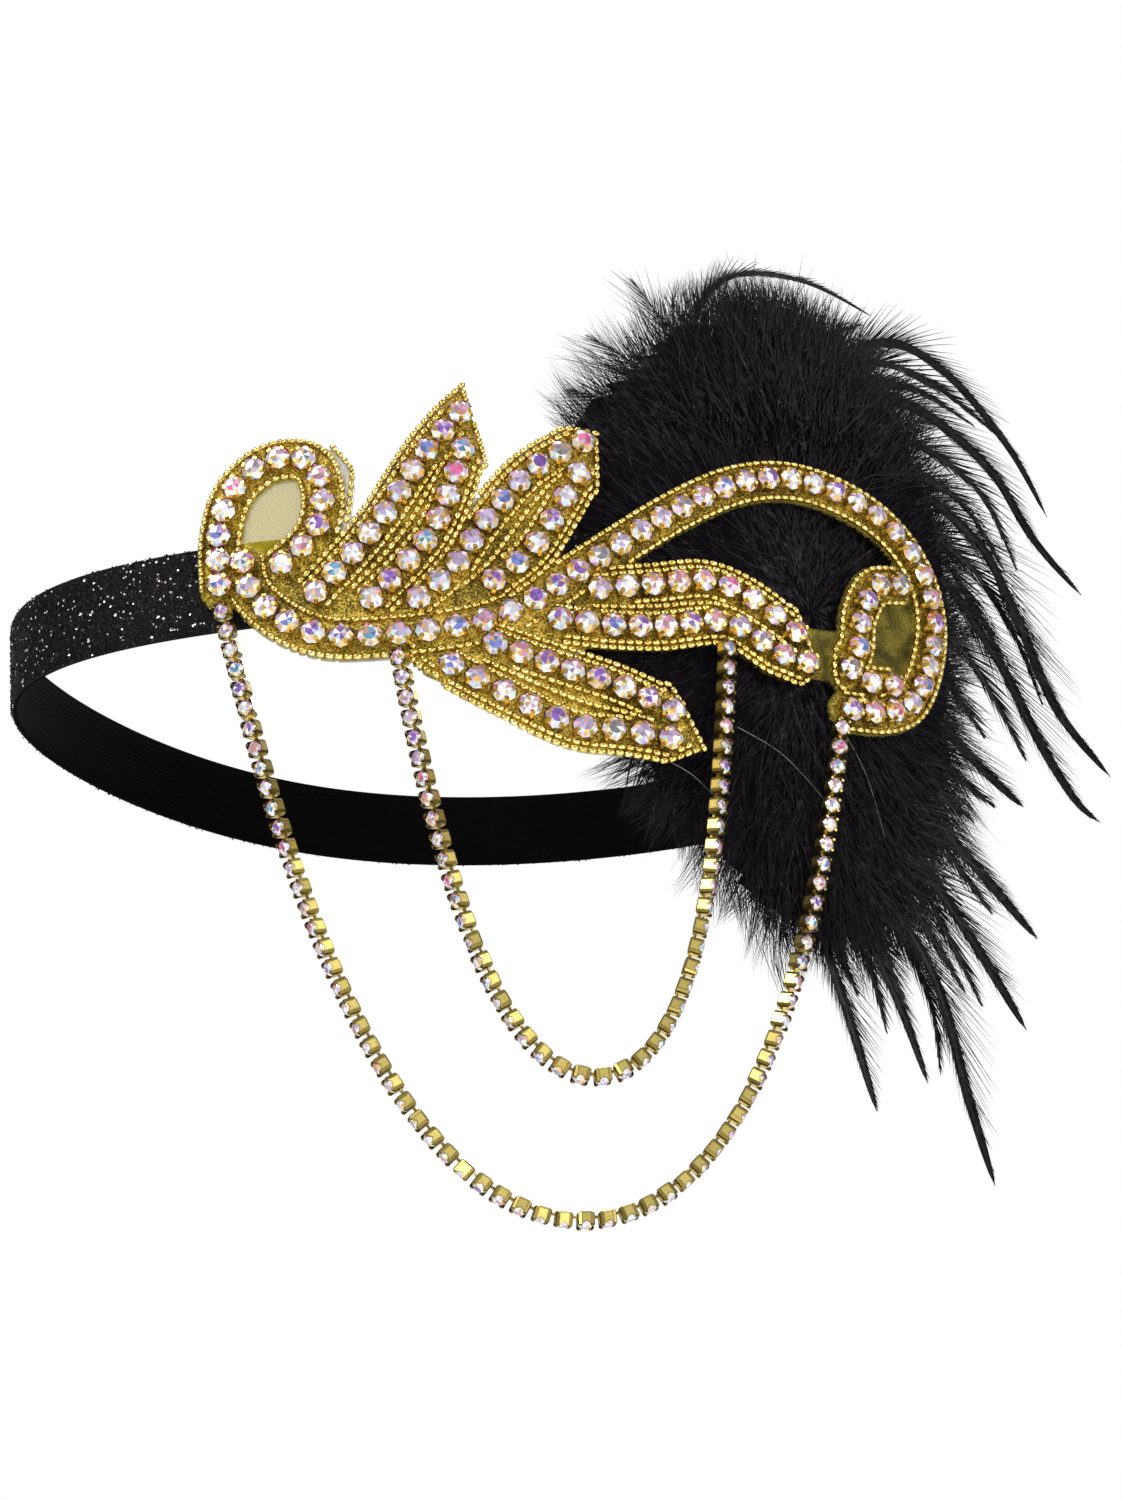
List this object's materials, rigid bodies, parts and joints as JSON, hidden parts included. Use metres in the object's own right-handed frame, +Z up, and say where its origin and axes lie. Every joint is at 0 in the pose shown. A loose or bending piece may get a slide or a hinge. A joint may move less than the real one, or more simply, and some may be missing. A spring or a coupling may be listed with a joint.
{
  "type": "flapper headband",
  "caption": "Oval glitter headband with a beaded scroll-and-leaf ornament of set stones, hanging cup-chain swags and a fan of black feathers behind it.",
  "frame": {"origin": "middle of the head opening at half the band's width", "axes": "+Z up the wearer's head, -Y the way the ornament faces, +X to the ornament's right as seen from its front"},
  "size_m": [0.2196, 0.1708, 0.192],
  "materials": {
    "glitter": "black elastic with glitter outside, plain inside",
    "net": "stiff olive-gold net with gold seed beads",
    "stones": "iridescent clear stones in gold claw settings",
    "gold": "polished gold-coloured cups with clear stones",
    "feather": "black down and glossy black hackles"
  },
  "bodies": {
    "root": {"glitter_band": "glitter", "net_backing": "net", "stones_left_curl": "stones", "stones_stem": "stones", "stones_arch": "stones", "stones_right_curl": "stones", "stones_leaf_1_upper": "stones", "stones_leaf_1_lower": "stones", "stones_leaf_2_upper": "stones", "stones_leaf_2_lower": "stones", "stones_leaf_3_upper": "stones", "stones_leaf_3_lower": "stones", "stones_leaf_4_upper": "stones", "stones_leaf_4_lower": "stones", "chain_outer": "gold", "chain_inner": "gold", "feather_plume": "feather"}
  },
  "joints": []
}
